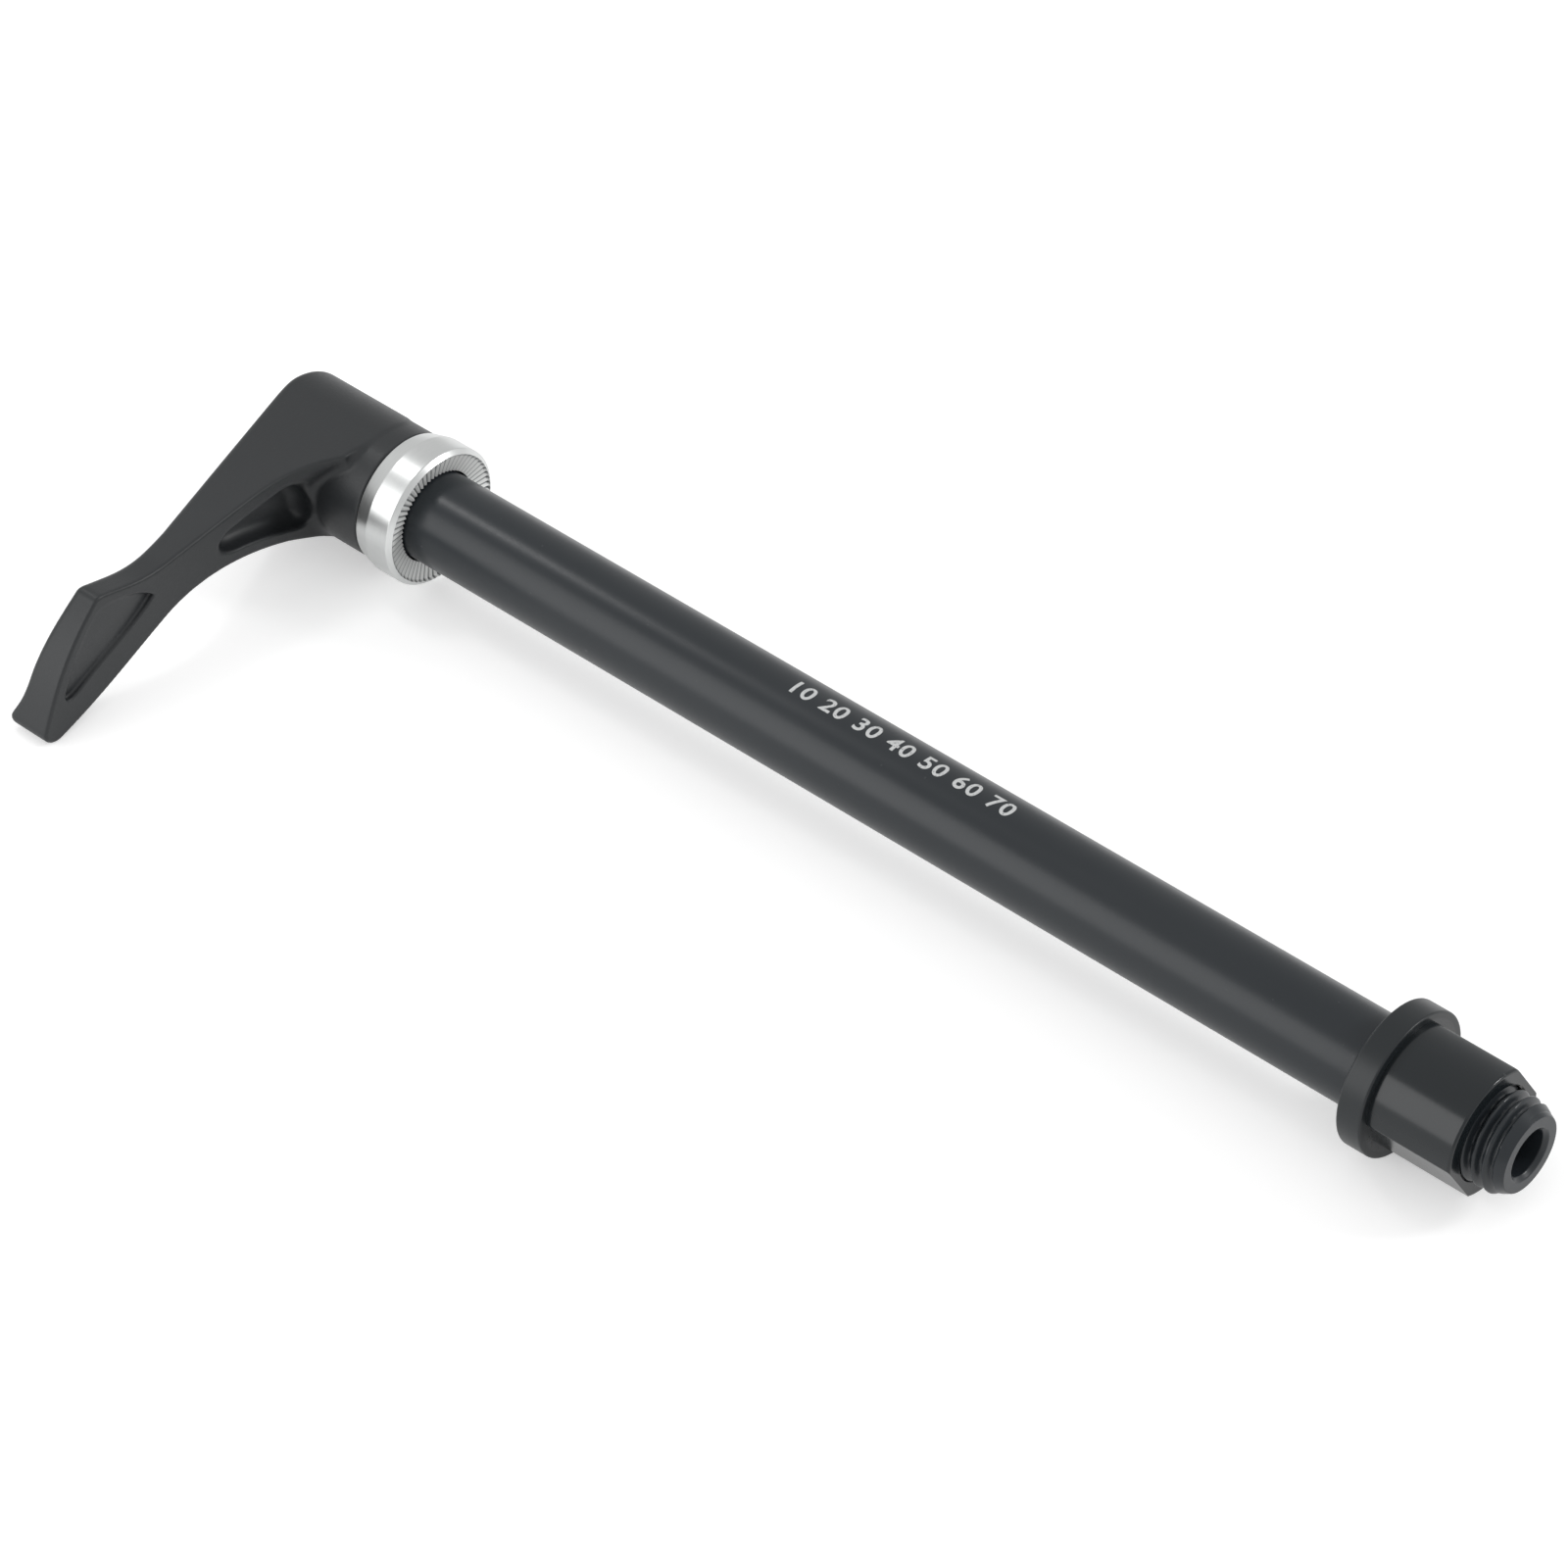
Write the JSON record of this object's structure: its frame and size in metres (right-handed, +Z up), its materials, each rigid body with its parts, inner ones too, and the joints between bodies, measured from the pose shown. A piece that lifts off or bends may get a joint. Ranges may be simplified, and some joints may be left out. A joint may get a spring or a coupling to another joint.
{
  "type": "bicycle thru axle",
  "caption": "Hollow thru axle with a threaded end, a frame nut, a serrated washer and a pull-out clamping lever on a splined head.",
  "frame": {"origin": "on the axle's centre line, in the plane of the tooth crests of the serrated washer", "axes": "+X along the axle from the washer towards the threaded tip, +Z up from the table it lies on, the lever points towards -Y"},
  "size_m": [0.1939, 0.0646, 0.0188],
  "materials": {
    "anodised_shaft": "satin black anodised",
    "machined_washer": "bright machined",
    "anodised_lever": "fine matte black anodised",
    "spring_steel": "plain bright steel",
    "black_screw": "black oxide",
    "anodised_nut": "glossy black anodised"
  },
  "bodies": {
    "nut": {"frame_nut": "anodised_nut"},
    "washer": {"serrated_washer": "machined_washer"},
    "axle": {"axle": "anodised_shaft", "lever_spring": "spring_steel", "spring_seat": "spring_steel", "retaining_screw": "black_screw"},
    "lever": {"lever": "anodised_lever"}
  },
  "joints": [
    {"name": "axle_travel", "type": "slide", "parent": "nut", "child": "washer", "axis": [1, 0, 0], "range_m": [-0.0205, 0]},
    {"name": "axle_turn", "type": "hinge", "parent": "washer", "child": "axle", "pos_m": [0, 0, 0], "axis": [1, 0, 0], "range_deg": [-4920, 0]},
    {"name": "lever_pull", "type": "slide", "parent": "axle", "child": "lever", "axis": [-1, 0, 0], "range_m": [0, 0.005], "stiffness_N_per_m": 1200, "springref_m": -0.002, "deforming": ["lever_spring"]}
  ],
  "couplings": [
    {"joint": "axle_travel", "follows": "axle_turn", "m_per_rad": 0.00023873}
  ]
}
